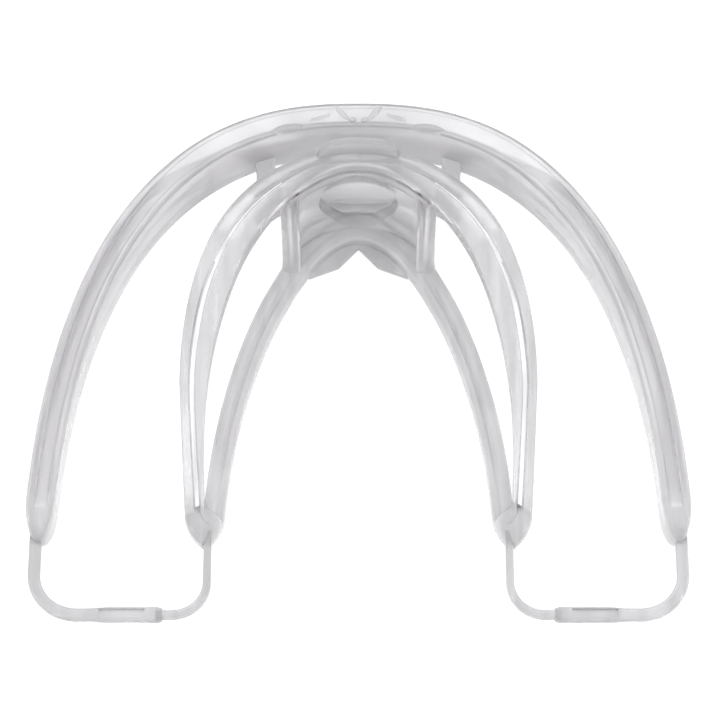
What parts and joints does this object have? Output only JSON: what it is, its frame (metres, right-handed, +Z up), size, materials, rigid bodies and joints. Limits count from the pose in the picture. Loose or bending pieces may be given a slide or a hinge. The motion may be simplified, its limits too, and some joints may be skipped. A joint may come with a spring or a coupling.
{
  "type": "cheek retractor",
  "caption": "Clear plastic cheek and lip retractor with a tongue guard, bite posts, flexing cheek arms and side straps.",
  "frame": {"origin": "centre of the bounding box, which lies on the bite plane and on the left-right mirror plane", "axes": "+X towards the wearer's right-hand arm of the retractor, +Y towards the lips, +Z up towards the palate"},
  "size_m": [0.082, 0.0726, 0.0184],
  "materials": {
    "clear_plastic": "clear moulded plastic, glossy, faintly grey",
    "strap_plastic": "soft clear plastic ribbon, satin, faintly grey"
  },
  "bodies": {
    "frame": {"lip_bow": "clear_plastic", "upper_lip_flange": "clear_plastic", "lower_lip_flange": "clear_plastic", "left_bite_post": "clear_plastic", "right_bite_post": "clear_plastic", "guard_crown": "clear_plastic", "guard_front_wall": "clear_plastic", "left_upper_rail": "clear_plastic", "right_upper_rail": "clear_plastic", "left_lower_rail": "clear_plastic", "right_lower_rail": "clear_plastic", "guard_lower_band": "clear_plastic", "frenum_skirt": "clear_plastic", "left_plate_strut": "clear_plastic", "right_plate_strut": "clear_plastic", "tongue_plate": "clear_plastic", "left_guard_tip": "clear_plastic", "right_guard_tip": "clear_plastic"},
    "left_arm": {"left_cheek_arm": "clear_plastic"},
    "left_strap_link": {"left_strap": "strap_plastic", "left_strap_sleeve": "strap_plastic"},
    "left_tail_link": {"left_strap_tail": "strap_plastic"},
    "right_arm": {"right_cheek_arm": "clear_plastic"},
    "right_strap_link": {"right_strap": "strap_plastic", "right_strap_sleeve": "strap_plastic"},
    "right_tail_link": {"right_strap_tail": "strap_plastic"}
  },
  "joints": [
    {"name": "left_arm_flex", "type": "hinge", "parent": "frame", "child": "left_arm", "pos_m": [-0.02582, 0.02302, 0], "axis": [0, 0, 1], "range_deg": [-4, 7], "stiffness_Nm_per_rad": 0.35},
    {"name": "left_strap_swing", "type": "hinge", "parent": "left_arm", "child": "left_strap_link", "pos_m": [-0.03961, -0.0237, 0], "axis": [0, 0, 1], "range_deg": [-8.3, 4.8]},
    {"name": "left_tail_swing", "type": "hinge", "parent": "frame", "child": "left_tail_link", "pos_m": [-0.0185, -0.0241, 0], "axis": [0, 0, 1], "range_deg": [-15.6, 27.1]},
    {"name": "right_arm_flex", "type": "hinge", "parent": "frame", "child": "right_arm", "pos_m": [0.02582, 0.02302, 0], "axis": [0, 0, -1], "range_deg": [-4, 7], "stiffness_Nm_per_rad": 0.35},
    {"name": "right_strap_swing", "type": "hinge", "parent": "right_arm", "child": "right_strap_link", "pos_m": [0.03961, -0.0237, 0], "axis": [0, 0, -1], "range_deg": [-8.3, 4.8]},
    {"name": "right_tail_swing", "type": "hinge", "parent": "frame", "child": "right_tail_link", "pos_m": [0.0185, -0.0241, 0], "axis": [0, 0, -1], "range_deg": [-15.6, 27.1]}
  ],
  "couplings": [
    {"joint": "left_strap_swing", "follows": "left_arm_flex", "ratio": -1.16},
    {"joint": "left_tail_swing", "follows": "left_arm_flex", "ratio": 3.84},
    {"joint": "right_strap_swing", "follows": "right_arm_flex", "ratio": -1.16},
    {"joint": "right_tail_swing", "follows": "right_arm_flex", "ratio": 3.84}
  ]
}
